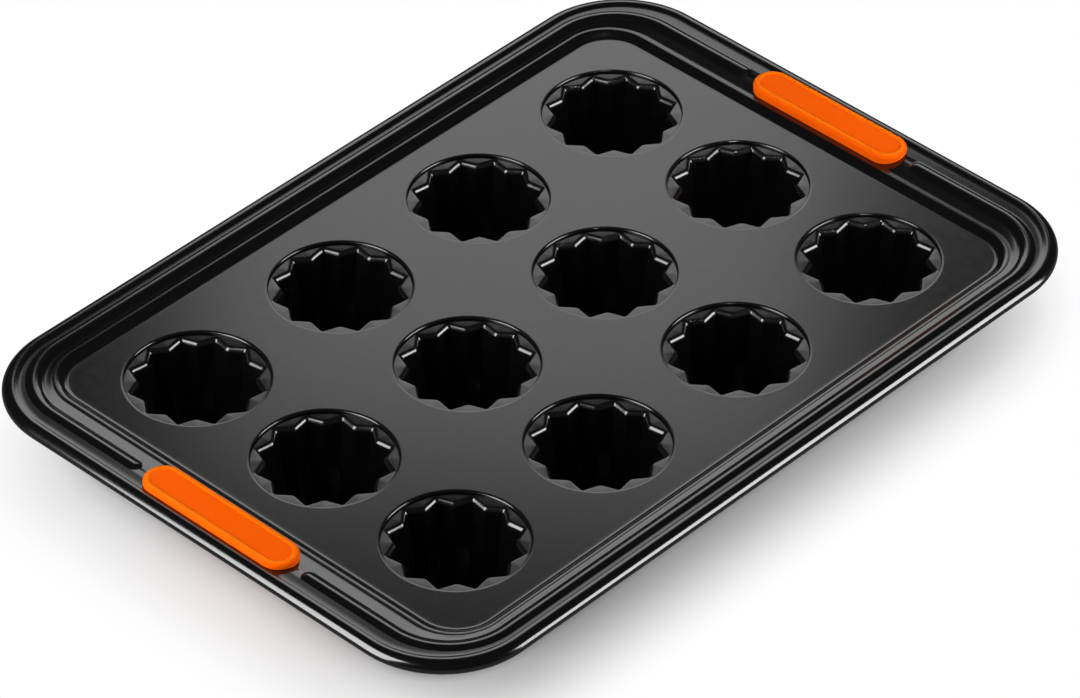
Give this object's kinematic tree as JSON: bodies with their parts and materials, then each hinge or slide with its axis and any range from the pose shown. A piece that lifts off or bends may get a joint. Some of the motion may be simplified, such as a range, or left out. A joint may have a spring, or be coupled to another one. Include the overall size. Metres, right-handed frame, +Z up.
{
  "type": "canele pan",
  "caption": "Non-stick steel baking tray with deep fluted canele cups hung in its deck, a beaded rolled rim and orange silicone grips on the short sides.",
  "frame": {"origin": "on the surface the pan stands on, under the middle of the tray", "axes": "+X along the tray's length from grip to grip, +Y across its width, +Z up out of the cups"},
  "size_m": [0.4006, 0.2812, 0.0523],
  "materials": {
    "tray_coating": "satin black non-stick coating on steel",
    "cup_coating": "smooth black non-stick coating on steel",
    "wire_steel": "drawn steel wire, bare",
    "silicone": "smooth orange silicone, soft sheen"
  },
  "bodies": {
    "root": {"tray_deck": "tray_coating", "rim_wire": "wire_steel", "grip_left": "silicone", "grip_right": "silicone", "cup_1_1": "cup_coating", "cup_1_2": "cup_coating", "cup_1_3": "cup_coating", "cup_2_1": "cup_coating", "cup_2_2": "cup_coating", "cup_2_3": "cup_coating", "cup_3_1": "cup_coating", "cup_3_2": "cup_coating", "cup_3_3": "cup_coating", "cup_4_1": "cup_coating", "cup_4_2": "cup_coating", "cup_4_3": "cup_coating"}
  },
  "joints": []
}
